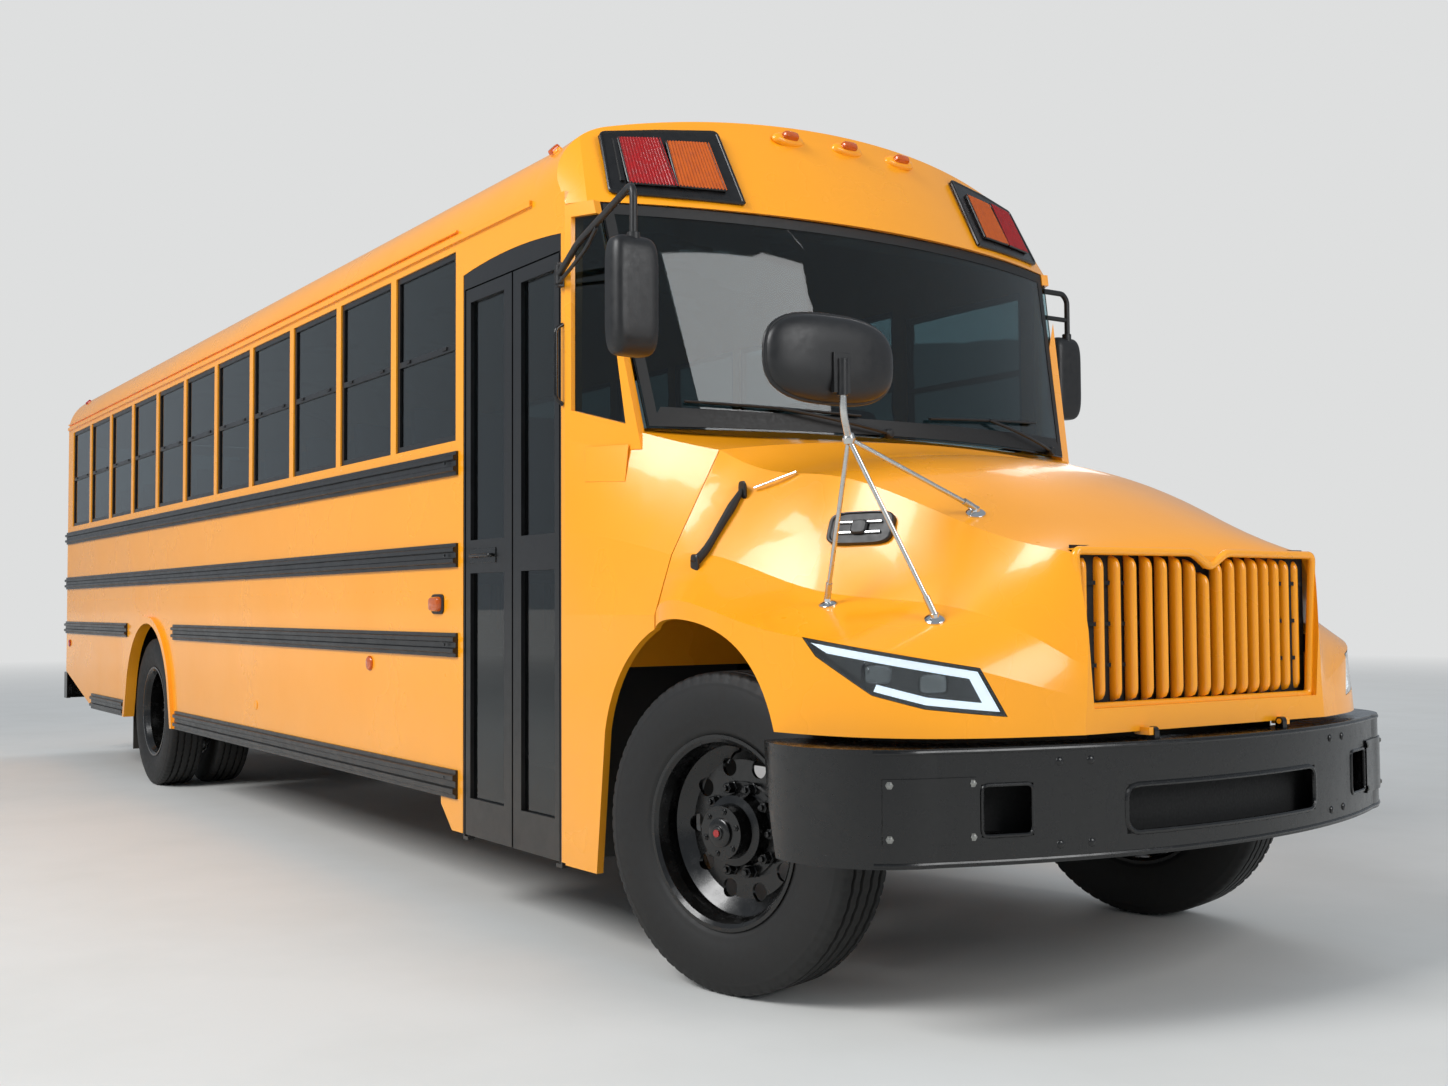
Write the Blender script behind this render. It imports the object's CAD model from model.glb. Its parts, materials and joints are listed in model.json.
"""Looks of the school bus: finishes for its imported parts, detailed pieces, light and camera.

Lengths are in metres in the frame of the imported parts: +X forward, +Y to the driver's side, +Z up.
"""
import json
import bmesh
import bpy
import numpy as np
from mathutils import Matrix, Vector
from mathutils.bvhtree import BVHTree


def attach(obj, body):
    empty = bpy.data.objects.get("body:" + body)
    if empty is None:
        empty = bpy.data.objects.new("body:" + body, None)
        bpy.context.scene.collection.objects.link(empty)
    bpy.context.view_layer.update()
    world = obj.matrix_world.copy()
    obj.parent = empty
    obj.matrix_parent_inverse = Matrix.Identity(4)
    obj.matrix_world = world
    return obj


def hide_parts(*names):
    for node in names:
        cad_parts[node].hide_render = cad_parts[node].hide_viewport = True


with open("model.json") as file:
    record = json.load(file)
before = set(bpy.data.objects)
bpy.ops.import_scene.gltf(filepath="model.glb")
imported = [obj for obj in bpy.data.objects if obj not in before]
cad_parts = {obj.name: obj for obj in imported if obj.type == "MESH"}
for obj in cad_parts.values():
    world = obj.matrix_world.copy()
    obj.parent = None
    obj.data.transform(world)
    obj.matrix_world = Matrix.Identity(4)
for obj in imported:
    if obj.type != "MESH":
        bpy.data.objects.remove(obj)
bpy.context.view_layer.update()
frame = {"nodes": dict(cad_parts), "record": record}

bl_info = {"name": "School bus looks", "version": (1, 0, 0), "blender": (4, 5, 0),
           "location": "3D View > Sidebar > School bus",
           "description": "Finishes and detailed pieces of a school bus",
           "category": "Object"}

FRONT = 4.380
REAR = -2.580
HALF = 1.219
AXLE_Z = 0.510
KINGPIN_Y = 0.860
STEER = np.radians(13.2)
TAIL_X = -5.410
WINDOW_COUNT = 11
WINDOW_PITCH = 0.716
FIRST_WINDOW_X = 1.976
WINDOW_WIDTH = 0.654
BENCH_Y = 0.675
BENCH_X = 2.140
SEAT_HALF = (0.207, 0.474, 0.054)
BACK_HALF = (0.372, 0.474, 0.041)
DRIVER_SEAT = (FRONT - 1.250, 0.640, 1.060)
TYRE_WIDTH = 0.254
FRONT_WHEEL_Y = 1.020
REAR_WHEEL_Y = 0.900
TWIN_OFFSET = 0.160
TURN_LAMP = (2.454, 1.242)
SIDE_REFLECTOR = (1.671, 0.970)
REAR_SIDE_REFLECTOR = (-5.230, 0.940)
ROUND_LATCH = (-0.068, 0.685)
RAIN_RAIL_Z = 2.7975
SIGN_CENTRE = (2.192, 1.620)
SIGN_HALF = 0.228
PALE = "#DEDFDF"


# Colour and node helpers
def linear(code):
    """The linear colour of an sRGB hex value."""
    c = np.array([int(code[i:i + 2], 16) for i in (1, 3, 5)]) / 255
    return tuple(np.where(c <= 0.04045, c / 12.92, ((c + 0.055) / 1.055) ** 2.4)) + (1.0,)


def add(tree, kind, at=(0, 0), **settings):
    """Add a node. A setting is a property of it, or a socket's value, or a socket to link from."""
    node = tree.nodes.new("ShaderNode" + kind)
    node.location = at
    for name, value in settings.items():
        if name.startswith("p_"):
            setattr(node, name[2:], value)
            continue
        key = int(name[1:]) if name[0] == "i" and name[1:].isdigit() else name.replace("_", " ")
        if isinstance(key, str) and key not in node.inputs:
            key = next(k for k in node.inputs.keys() if k.lower() == key.lower())
        if isinstance(value, bpy.types.NodeSocket):
            tree.links.new(value, node.inputs[key])
        else:
            node.inputs[key].default_value = value
    return node


def surface(name, colour, rough, metal=0.0, coat=0.0, speck=None, bump=(), glow=None, through=0.0, ior=1.5,
            sheen=0.0, dust=None, alpha=1.0):
    """A Principled material. speck is (second colour, size in mm, share) for colour that varies, bump
    holds (pattern, size in mm, depth in mm) layers, dust is (colour, top height, share)."""
    found = bpy.data.materials.get(name)
    if found:
        return found
    mat = bpy.data.materials.new(name)
    mat.use_nodes = True
    tree = mat.node_tree
    tree.nodes.clear()
    place = add(tree, "TexCoord", (-1200, 0)).outputs["Object"]
    base = linear(colour)
    shader = add(tree, "BsdfPrincipled", (200, 0), Base_Color=base, Roughness=rough, Metallic=metal,
                 Coat_Weight=coat, Coat_Roughness=0.06, IOR=ior, Transmission_Weight=through,
                 Sheen_Weight=sheen, Alpha=alpha)
    last = None
    if speck:
        other, size, share = speck
        grain = add(tree, "TexNoise", (-900, 300), Vector=place, Scale=1000 / size, Detail=4.0,
                    Roughness=0.6)
        ramp = add(tree, "MapRange", (-700, 300), Value=grain.outputs["Fac"], From_Min=0.42, From_Max=0.72,
                   To_Min=0.0, To_Max=share)
        mix = add(tree, "Mix", (-450, 300), p_data_type="RGBA", i0=ramp.outputs["Result"], i6=base,
                  i7=linear(other))
        last = mix.outputs[2]
        rough_map = add(tree, "MapRange", (-450, 0), Value=grain.outputs["Fac"], From_Min=0.3, From_Max=0.7,
                        To_Min=max(rough - 0.06, 0.02), To_Max=rough + 0.08)
        tree.links.new(rough_map.outputs["Result"], shader.inputs["Roughness"])
    if dust:
        tone, top, share = dust
        split = add(tree, "SeparateXYZ", (-900, -200), Vector=place)
        cloud = add(tree, "TexNoise", (-900, -400), Vector=place, Scale=3.0, Detail=6.0, Roughness=0.65)
        fall = add(tree, "MapRange", (-700, -200), Value=split.outputs["Z"], From_Min=top, From_Max=0.1,
                   To_Min=0.0, To_Max=share)
        film = add(tree, "Math", (-500, -250), p_operation="MULTIPLY", i0=fall.outputs["Result"],
                   i1=cloud.outputs["Fac"])
        under = last if last else base
        mix = add(tree, "Mix", (-250, 150), p_data_type="RGBA", i0=film.outputs["Value"], i6=under,
                  i7=linear(tone))
        last = mix.outputs[2]
    if last:
        tree.links.new(last, shader.inputs["Base Color"])
    height = None
    for pattern, size, depth in bump:
        if pattern == "cells":
            tex = add(tree, "TexVoronoi", (-900, -700), Vector=place, Scale=1000 / size).outputs["Distance"]
        elif pattern == "lines":
            tex = add(tree, "TexWave", (-900, -700), Vector=place, Scale=1000 / size / 6.283,
                      p_bands_direction="Z").outputs["Fac"]
        else:
            tex = add(tree, "TexNoise", (-900, -700), Vector=place, Scale=1000 / size,
                      Detail=3.0).outputs["Fac"]
        settings = {"Height": tex, "Distance": depth / 1000, "Strength": 1.0}
        if height:
            settings["Normal"] = height
        height = add(tree, "Bump", (-300, -600), **settings).outputs["Normal"]
    if height:
        tree.links.new(height, shader.inputs["Normal"])
    if glow:
        shader.inputs["Emission Color"].default_value = linear(glow[0])
        shader.inputs["Emission Strength"].default_value = glow[1]
    out = add(tree, "OutputMaterial", (500, 0))
    tree.links.new(shader.outputs["BSDF"], out.inputs["Surface"])
    return mat


FINISHES = {
    # Gloss enamel over steel sheet: deep orange-yellow under a clear top, faint orange peel and road dust
    "yellow_paint": lambda: surface("gloss_enamel_yellow", setting("colours").paint_hex, 0.28, coat=0.35,
                                    speck=("#F0961A", 900, 0.25),
                                    bump=(("noise", 700, 1.2), ("noise", 6, 0.012)),
                                    dust=("#B79A6B", 0.95, 0.35)),
    # Satin enamel on roll-formed rails: grey-black with soft highlights along the ridges
    "black_paint": lambda: surface("satin_enamel_black", "#0D0D0E", 0.34, coat=0.1,
                                   speck=("#1A1A1B", 60, 0.5),
                                   bump=(("noise", 4, 0.01),), dust=("#6E6454", 1.0, 0.16)),
    # Powder coat on pressed steel: black with a fine even texture and a clear gloss
    "black_steel": lambda: surface("powder_coat_black", "#040404", 0.24, coat=0.12,
                                   speck=("#0A0A0B", 40, 0.5),
                                   bump=(("noise", 3, 0.02),), dust=("#4E483E", 0.7, 0.06)),
    # Brushed-on chassis paint: dull black with dust
    "chassis_black": lambda: surface("chassis_paint_black", "#131312", 0.62, speck=("#2A2620", 35, 0.6),
                                     bump=(("noise", 9, 0.2),), dust=("#6A5F50", 1.1, 0.45)),
    # Tinted safety glass: dark blue-green and smooth
    "tinted_glass": lambda: surface("tinted_safety_glass", "#54666A", 0.015, through=1.0, ior=1.45),
    "clear_glass": lambda: surface("clear_safety_glass", "#C9D6D4", 0.01, through=1.0, ior=1.45),
    # Moulded tyre rubber: dark grey with brown dust in the tread and a matt skin
    "tyre": lambda: surface("tyre_rubber", "#0E0E0E", 0.62, speck=("#1B1917", 30, 0.5),
                            bump=(("noise", 2.5, 0.08),),
                            dust=("#4A443B", 0.9, 0.08)),
    # Grained plastic housings
    "black_plastic": lambda: surface("grained_plastic_black", "#141415", 0.42, bump=(("cells", 2.2, 0.06),),
                                     speck=("#1E1E1F", 25, 0.5)),
    "grey_plastic": lambda: surface("grained_plastic_grey", "#5B5F61", 0.6, bump=(("cells", 2.5, 0.08),),
                                    speck=("#4C5052", 40, 0.5)),
    "lamp_lens": lambda: surface("lamp_board_black", "#101011", 0.3, bump=(("noise", 5, 0.02),),
                                 speck=("#1C1C1D", 30, 0.5)),
    "headlamp": lambda: surface("clear_lamp_cover", "#E8EEF0", 0.02, through=1.0, ior=1.49),
    # Coated seat fabric: blue-grey vinyl with a leather-like grain
    "seat_vinyl": lambda: surface("seat_vinyl_blue", "#27405E", 0.5, speck=("#1E3450", 18, 0.6),
                                  bump=(("cells", 3.0, 0.12), ("noise", 60, 1.0)), sheen=0.1),
    "rubber": lambda: surface("moulded_rubber_black", "#161616", 0.65, speck=("#242322", 25, 0.6),
                              bump=(("noise", 3, 0.05),), dust=("#6A5F50", 0.9, 0.35)),
    "red_paint": lambda: surface("enamel_red", "#B3121B", 0.35, coat=0.2, speck=("#9D1018", 80, 0.5),
                                 bump=(("noise", 6, 0.012),)),
    "floor_cover": lambda: surface("ribbed_floor_rubber", "#1C1D1E", 0.6, speck=("#2A2A2A", 20, 0.6),
                                   bump=(("noise", 4, 0.1),), dust=("#7A7060", 1.3, 0.2)),
    # Stainless steel tube: bright with soft grinding marks
    "stainless": lambda: surface("ground_stainless_steel", "#C9C9C6", 0.22, metal=1.0,
                                 bump=(("noise", 1.5, 0.01),),
                                 speck=("#B4B4B0", 12, 0.5)),
    # Chrome plating: mirror bright
    "chrome": lambda: surface("chrome_plate", "#D8DADB", 0.06, metal=1.0, bump=(("noise", 40, 0.02),),
                              speck=("#C9CBCC", 60, 0.4)),
    "zinc_bolt": lambda: surface("zinc_plated_steel", "#9A9A96", 0.38, metal=1.0, speck=("#77756E", 6, 0.6),
                                 bump=(("noise", 1.5, 0.02),)),
    "mirror": lambda: surface("silvered_glass", "#DDE2E4", 0.02, metal=1.0, bump=(("noise", 200, 0.02),)),
    # Moulded acrylic lenses: saturated, with reeds behind a smooth face
    "amber_lens": lambda: surface("amber_acrylic", "#D9640A", 0.12, coat=0.5, through=0.25, ior=1.49,
                                  speck=("#B94E05", 30, 0.6), glow=("#C24A00", 0.04)),
    "red_lens": lambda: surface("red_acrylic", "#B00A0C", 0.12, coat=0.5, through=0.25, ior=1.49,
                                speck=("#7C0507", 30, 0.6), glow=("#8A0505", 0.12)),
    "clear_lens": lambda: surface("clear_acrylic", "#DDE3E6", 0.06, through=0.8, ior=1.49,
                                  speck=("#C9D0D4", 20, 0.4)),
    "light_strip": lambda: surface("lit_diffuser", "#F4F8FC", 0.4, glow=("#EAF3FF", 0.75),
                                   speck=("#E4ECF4", 30, 0.4)),
    "lamp_inside": lambda: surface("lamp_bezel_dark", "#15181B", 0.18, coat=0.4,
                                   speck=("#20252A", 14, 0.6)),
    "dark_void": lambda: surface("mesh_screen_black", "#070707", 0.8, bump=(("cells", 9, 0.6),),
                                 speck=("#101010", 9, 0.6)),
    "seal": lambda: surface("rubber_seal_black", "#101010", 0.55, bump=(("noise", 3, 0.03),),
                            speck=("#1B1B1B", 12, 0.6)),
}


def finish_of(slot):
    return FINISHES[slot]()


# Geometry helpers: a surface is (points, faces)
def grid(points, wrap_u=False, wrap_v=False, flip=False):
    """Quads between the neighbours of a grid of points, wrapped round in u or v where asked."""
    points = np.asarray(points, float)
    n, m = points.shape[:2]
    i = np.arange(n if wrap_u else n - 1)[:, None]
    j = np.arange(m if wrap_v else m - 1)[None, :]
    i2, j2 = (i + 1) % n, (j + 1) % m
    quads = np.stack([i * m + j + 0 * i2, i2 * m + j, i2 * m + j2, i * m + j2], -1).reshape(-1, 4)
    if flip:
        quads = quads[:, ::-1]
    return points.reshape(-1, 3), quads.tolist()


def join(*surfaces):
    """One surface from several."""
    points, faces, base = [], [], 0
    for p, f in surfaces:
        points.append(np.asarray(p, float))
        faces += [[k + base for k in face] for face in f]
        base += len(p)
    return np.concatenate(points), faces


def box(x0, x1, y0, y1, z0, z1):
    """Six faces between two corners."""
    x0, x1, y0, y1, z0, z1 = min(x0, x1), max(x0, x1), min(y0, y1), max(y0, y1), min(z0, z1), max(z0, z1)
    p = np.array([(x, y, z) for x in (x0, x1) for y in (y0, y1) for z in (z0, z1)])
    return p, [[0, 1, 3, 2], [4, 6, 7, 5], [0, 4, 5, 1], [2, 3, 7, 6], [0, 2, 6, 4], [1, 5, 7, 3]]


def lathe(profile, origin, axis, steps=48):
    """A profile of (radius, distance along the axis) turned round the axis. Radius 0 closes a pole."""
    profile = np.asarray(profile, float)
    axis = np.array(axis, float) / np.linalg.norm(axis)
    side = np.cross(axis, (0, 0, 1.0) if abs(axis[2]) < 0.9 else (1.0, 0, 0))
    side /= np.linalg.norm(side)
    other = np.cross(axis, side)
    a = np.linspace(0, 2 * np.pi, steps, endpoint=False)
    ring = np.cos(a)[:, None] * side + np.sin(a)[:, None] * other
    points = np.array(origin, float) + profile[None, :, 1:] * axis + ring[:, None, :] * profile[None, :, :1]
    return grid(points, wrap_u=True)


def tube(path, radius, sides=12, caps=True):
    """A round section carried along a path, turned as little as possible from point to point."""
    path = np.asarray(path, float)
    radius = np.broadcast_to(np.asarray(radius, float), (len(path),))
    step = np.gradient(path, axis=0)
    step /= np.linalg.norm(step, axis=1)[:, None]
    side = np.cross(step[0], (0, 0, 1.0) if abs(step[0][2]) < 0.9 else (1.0, 0, 0))
    sides_at = []
    for t in step:
        side = side - t * np.dot(side, t)
        side = side / np.linalg.norm(side)
        sides_at.append(side)
    s = np.array(sides_at)
    b = np.cross(step, s)
    a = np.linspace(0, 2 * np.pi, sides, endpoint=False)
    ring = np.cos(a)[None, :, None] * s[:, None, :] + np.sin(a)[None, :, None] * b[:, None, :]
    points = path[:, None, :] + radius[:, None, None] * ring
    p, f = grid(points, wrap_v=True, flip=True)
    if caps:
        f += [list(range(sides)), [len(p) - 1 - i for i in range(sides)]]
    return p, f


def smooth_path(points, count=24):
    """A curve through points: centripetal Catmull-Rom, worked out for all spans at once."""
    p = np.asarray(points, float)
    p = np.concatenate([[2 * p[0] - p[1]], p, [2 * p[-1] - p[-2]]])
    t = np.linspace(0, 1, count, endpoint=False)[None, :, None]
    a, b, c, d = p[:-3, None], p[1:-2, None], p[2:-1, None], p[3:, None]
    out = 0.5 * (2 * b + (c - a) * t + (2 * a - 5 * b + 4 * c - d) * t ** 2
                 + (3 * b - a - 3 * c + d) * t ** 3)
    return np.concatenate([out.reshape(-1, 3), p[-2:-1]])


def rounded(points, radius, steps=5):
    """An outline with its corners rounded: each corner becomes a quadratic curve."""
    points = np.asarray(points, float)
    before, after = np.roll(points, 1, 0), np.roll(points, -1, 0)
    r = np.broadcast_to(np.asarray(radius, float), (len(points),))
    back, on = before - points, after - points
    lb, lo = np.linalg.norm(back, axis=1), np.linalg.norm(on, axis=1)
    cut = np.minimum(r, np.minimum(lb, lo) * 0.49)
    a = points + back / lb[:, None] * cut[:, None]
    c = points + on / lo[:, None] * cut[:, None]
    t = np.linspace(0, 1, steps)[None, :, None]
    out = (1 - t) ** 2 * a[:, None] + 2 * t * (1 - t) * points[:, None] + t ** 2 * c[:, None]
    return out.reshape(-1, 2)


def mirrored(shape):
    """The same surface on the other side of the bus, with its faces turned back outwards."""
    p, f = shape
    return p * np.array([1, -1, 1.0]), [face[::-1] for face in f]


def turned(shape, angle, at):
    """A surface turned about an upright line."""
    p, f = shape
    c, s = np.cos(angle), np.sin(angle)
    q = p - np.array([at[0], at[1], 0])
    q = np.stack([q[:, 0] * c - q[:, 1] * s, q[:, 0] * s + q[:, 1] * c, q[:, 2]], 1)
    return q + np.array([at[0], at[1], 0]), f


def bolt(at, axis, radius=0.008, height=0.006):
    """A six-sided head on a washer."""
    flat = [(radius * 1.5, 0), (radius * 1.5, height * 0.3), (radius, height * 0.3),
            (radius, height * 0.85), (radius * 0.8, height), (0.0001, height)]
    return lathe(flat, at, axis, 6)


def rivet(at, axis, radius=0.006, height=0.003):
    """A low dome on the sheet."""
    a = np.linspace(0, np.pi / 2, 4)
    return lathe(np.stack([radius * np.cos(a) + 1e-5, height * np.sin(a)], 1), at, axis, 8)


def piece(name, shape, finish, body="root", slot=None, replaces=(), bevel=0.0, angle=35, merge=True,
          subdiv=0):
    """A new object from a surface, with its finish, and the body that it rides on."""
    points, faces = shape
    mesh = bpy.data.meshes.new(name)
    mesh.from_pydata(points.tolist(), [], faces)
    mesh.validate()
    bm = bmesh.new()
    bm.from_mesh(mesh)
    if merge:
        bmesh.ops.remove_doubles(bm, verts=bm.verts, dist=1e-5)
    bmesh.ops.dissolve_degenerate(bm, edges=bm.edges, dist=1e-6)
    bmesh.ops.recalc_face_normals(bm, faces=bm.faces)
    bm.to_mesh(mesh)
    bm.free()
    mesh.shade_smooth()
    mesh.set_sharp_from_angle(angle=np.radians(angle))
    obj = bpy.data.objects.new(name, mesh)
    bpy.context.scene.collection.objects.link(obj)
    mesh.materials.append(finish_of(finish))
    if bevel:
        mod = obj.modifiers.new("edges", "BEVEL")
        mod.width = bevel
        mod.segments = 2
        mod.limit_method = "ANGLE"
        mod.angle_limit = np.radians(40)
    if subdiv:
        mod = obj.modifiers.new("smooth", "SUBSURF")
        mod.levels = mod.render_levels = subdiv
    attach(obj, body)
    if replaces:
        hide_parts(*replaces)
    return obj


def patch(corners, n=12, m=12):
    """Points between four corners, row by row: a weighted mean of the corners."""
    a, b, c, d = (np.asarray(q, float) for q in corners)
    u = np.linspace(0, 1, n)[:, None, None]
    v = np.linspace(0, 1, m)[None, :, None]
    return (1 - v) * ((1 - u) * a + u * b) + v * ((1 - u) * d + u * c)


def bend(points, radius, steps=6):
    """A path through points with rounded corners: each corner is a quadratic curve."""
    p = np.asarray(points, float)
    back, on = p[:-2] - p[1:-1], p[2:] - p[1:-1]
    lb, lo = np.linalg.norm(back, axis=1), np.linalg.norm(on, axis=1)
    cut = np.minimum(radius, np.minimum(lb, lo) * 0.45)[:, None]
    a, c = p[1:-1] + back / lb[:, None] * cut, p[1:-1] + on / lo[:, None] * cut
    t = np.linspace(0, 1, steps)[None, :, None]
    mid = ((1 - t) ** 2 * a[:, None] + 2 * t * (1 - t) * p[1:-1, None] + t ** 2 * c[:, None]).reshape(-1, 3)
    return np.concatenate([p[:1], mid, p[-1:]])


CAP_SAG_R = (1.172 ** 2 + 0.247 ** 2) / (2 * 0.247)


def cap_face(y, z, out=0.0):
    """Points on the leaning face of the front cap: an arc in plan that moves back as it rises."""
    y, z = np.asarray(y, float), np.asarray(z, float)
    x = FRONT - 0.458 - 0.552 * (z - 2.7) - (CAP_SAG_R - np.sqrt(CAP_SAG_R ** 2 - y ** 2)) + out
    return np.stack([x, y, z], -1)


def cap_sheet(corners, low, high, ripple=0.0, count=18, n=40, m=8):
    """A pad on the cap's face. Reeds are a cosine of the place across it."""
    yz = patch([(y, z) for y, z in corners], n, m)
    wave = ripple * np.cos(np.linspace(0, count * 2 * np.pi, n))[:, None]
    return skin(cap_face(yz[..., 0], yz[..., 1], high + wave), cap_face(yz[..., 0], yz[..., 1], low))


def oval(half_a, half_b, power, count=48):
    """A rounded outline: a superellipse."""
    t = np.linspace(0, 2 * np.pi, count, endpoint=False)
    c, s = np.cos(t), np.sin(t)
    return np.stack([half_a * np.sign(c) * np.abs(c) ** (2 / power),
                     half_b * np.sign(s) * np.abs(s) ** (2 / power)], 1)


def dome(outline, profile, origin, u, v, n):
    """An outline scaled along a profile of (scale, distance along n), closed at both ends."""
    outline = np.asarray(outline, float)
    u, v, n = (np.array(q, float) for q in (u, v, n))
    flat = outline[:, :1] * u + outline[:, 1:] * v
    prof = np.asarray(profile, float)
    points = np.array(origin, float) + prof[:, None, :1] * flat[None] + prof[:, None, 1:] * n
    p, f = grid(points, wrap_v=True)
    count = len(outline)
    return p, f + [list(range(count)), [len(p) - 1 - i for i in range(count)]]


def lens(at, out, half_u, half_v, thick=0.012, up=(0, 0, 1), power=4.0):
    """A small domed lens with a rounded outline on a flat place."""
    out = np.array(out, float)
    up = np.array(up, float)
    side = np.cross(up, out)
    t = np.linspace(0, np.pi / 2, 5)
    profile = [(1.0, -0.002)]
    profile += [(np.cos(a) * 0.25 + 0.75 if a < 1.5 else 0.7, thick * np.sin(a)) for a in t]
    return dome(oval(half_u, half_v, power, 32), profile, at, side, up, out)


def tyre_shape(side, inner_y, x):
    """A tyre: its profile turned about the axle. The sidewall bulges as a power of the distance
    from its widest radius. The tread has four zigzag grooves, and the shoulders have cross cuts at
    an even pitch."""
    depth = setting("sizes").tread_depth
    width, radius = TYRE_WIDTH, AXLE_Z
    r_wall = np.array([0.298, 0.304, 0.316, 0.322, 0.328, 0.334, 0.345, 0.36, 0.375, 0.39, 0.405,
                       0.42, 0.435, 0.450, 0.462, 0.466, 0.472, 0.476, 0.484, 0.490, 0.497])
    w_wall = 0.003 + 0.028 * (np.abs(r_wall - 0.41) / 0.112) ** 2.2
    w_wall = w_wall - 0.0022 * np.exp(-((r_wall - 0.325) / 0.004) ** 2)
    w_wall = w_wall - 0.002 * np.exp(-((r_wall - 0.474) / 0.003) ** 2)
    grooves = np.array([-0.066, -0.024, 0.024, 0.066]) + width / 2
    w_tread, r_tread, zig = [0.022, 0.026, 0.034], [0.502, 0.505, 0.5085], [0, 0, 0]
    for g in grooves:
        w_tread += [g - 0.0075, g - 0.0045, g, g + 0.0045, g + 0.0075]
        r_tread += [0, -depth, -depth, -depth, 0]
        zig += [1, 1, 1, 1, 1]
    w_tread += [width - 0.034, width - 0.026, width - 0.022]
    r_tread += [0.5085, 0.505, 0.502]
    zig += [0, 0, 0]
    w_tread, r_tread, zig = np.array(w_tread), np.array(r_tread), np.array(zig, float)
    crown = radius - 0.0015 * (np.abs(w_tread - width / 2) / 0.093) ** 3
    r_tread = np.where(zig > 0, crown + r_tread, r_tread)
    r = np.concatenate([r_wall, r_tread, r_wall[::-1]])
    w = np.concatenate([w_wall, w_tread, width - w_wall[::-1]])
    wiggle = np.concatenate([0 * r_wall, zig, 0 * r_wall])
    steps = 360
    a = np.linspace(0, 2 * np.pi, steps, endpoint=False)[:, None]
    tri = 2 * np.abs(2 * ((a * 60 / (2 * np.pi)) % 1) - 1) - 1
    shoulder = ((w < 0.036) | (w > width - 0.036)) & (r > 0.483)
    cut = (np.arange(steps)[:, None] % 5 == 0) * shoulder[None, :] * 0.0045
    rr = r[None, :] - cut
    ww = w[None, :] + wiggle[None, :] * tri * 0.0022
    y = inner_y + side * ww
    points = np.stack([x + rr * np.sin(a), y, AXLE_Z + rr * np.cos(a)], -1)
    bead = points[:, :1] * 1.0
    points = np.concatenate([points, bead], axis=1)
    return grid(points, wrap_u=True)


def nuts(side, x, y, radius, tall, count=10, size=0.0185):
    """Wheel nuts with their studs, evenly round the hub."""
    out = []
    for a in np.linspace(0, 2 * np.pi, count, endpoint=False):
        at = (x + radius * np.cos(a), y, AXLE_Z + radius * np.sin(a))
        nut = [(size * 1.22, 0), (size * 1.22, 0.004), (size, 0.004), (size, tall * 0.92),
               (size * 0.86, tall), (0.0105, tall), (0.0105, tall + 0.012), (0.0001, tall + 0.013)]
        out.append(lathe(nut, at, (0, side, 0), 6))
    return out


def mirror_head(at, half_y, half_z, depth):
    """A flat mirror's housing: a rounded outline that shrinks towards a domed back."""
    t = np.linspace(0, np.pi / 2, 9)
    profile = [(1.0, -0.040)]
    profile += [(0.55 + 0.45 * np.cos(a) ** 0.7, depth * np.sin(a) - 0.010) for a in t[:-1]]
    profile += [(0.50, depth - 0.010)]
    shell = dome(oval(half_y, half_z, 5.5, 64), profile, at, (0, 1, 0), (0, 0, 1), (1, 0, 0))
    glass = dome(oval(half_y * 0.92, half_z * 0.95, 5.5, 64), [(1, 0.002), (1, -0.0025), (0.98, -0.003)],
                 np.array(at) - np.array([0.0405, 0, 0]), (0, 1, 0), (0, 0, 1), (1, 0, 0))
    return shell, glass


TREES = {}


def drop(node, start, direction):
    """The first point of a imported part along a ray, and the way its face points there."""
    if node not in TREES:
        mesh = frame["nodes"][node].data
        TREES[node] = BVHTree.FromPolygons([v.co for v in mesh.vertices],
                                           [p.vertices for p in mesh.polygons])
    spot, normal, _, _ = TREES[node].ray_cast(Vector(start), Vector(direction))
    if spot is None:
        raise RuntimeError(f"no face of {node} lies along the ray from {tuple(start)}")
    if normal.dot(Vector(direction)) > 0:
        normal = -normal
    return np.array(spot), np.array(normal)


def fitted(node, origin, u, v, out, spots, reach=1.0, power=3):
    """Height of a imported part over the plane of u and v, as a polynomial fitted to rays at a few spots."""
    origin, u, v, out = (np.array(q, float) for q in (origin, u, v, out))
    rows, heights = [], []
    for s, t in spots:
        hit, _ = drop(node, origin + u * s + v * t + out * reach, -out)
        rows.append((s, t))
        heights.append(np.dot(hit - origin, out))
    s, t = np.array(rows).T
    s0, t0 = s.mean(), t.mean()
    terms = [(i, j) for i in range(power + 1) for j in range(power + 1 - i)]
    basis = np.stack([(s - s0) ** i * (t - t0) ** j for i, j in terms], 1)
    weight = np.linalg.lstsq(basis, np.array(heights), rcond=None)[0]

    def place(s, t, lift=0.0):
        s, t = np.asarray(s, float), np.asarray(t, float)
        height = sum(w * (s - s0) ** i * (t - t0) ** j for w, (i, j) in zip(weight, terms)) + lift
        return origin + s[..., None] * u + t[..., None] * v + height[..., None] * out
    return place


def inset_polygon(points, amount):
    """A polygon, drawn clockwise, moved inwards by an even amount: each corner is where its two
    moved sides meet."""
    p = np.asarray(points, float)
    d = np.roll(p, -1, 0) - p
    d /= np.linalg.norm(d, axis=1)[:, None]
    n = np.stack([d[:, 1], -d[:, 0]], 1)
    before_d, before_n = np.roll(d, 1, 0), np.roll(n, 1, 0)
    a, b = p + before_n * amount, p + n * amount
    det = before_d[:, 0] * -d[:, 1] + d[:, 0] * before_d[:, 1]
    diff = b - a
    t = (diff[:, 0] * -d[:, 1] + d[:, 0] * diff[:, 1]) / det
    return a + before_d * t[:, None]


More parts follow.
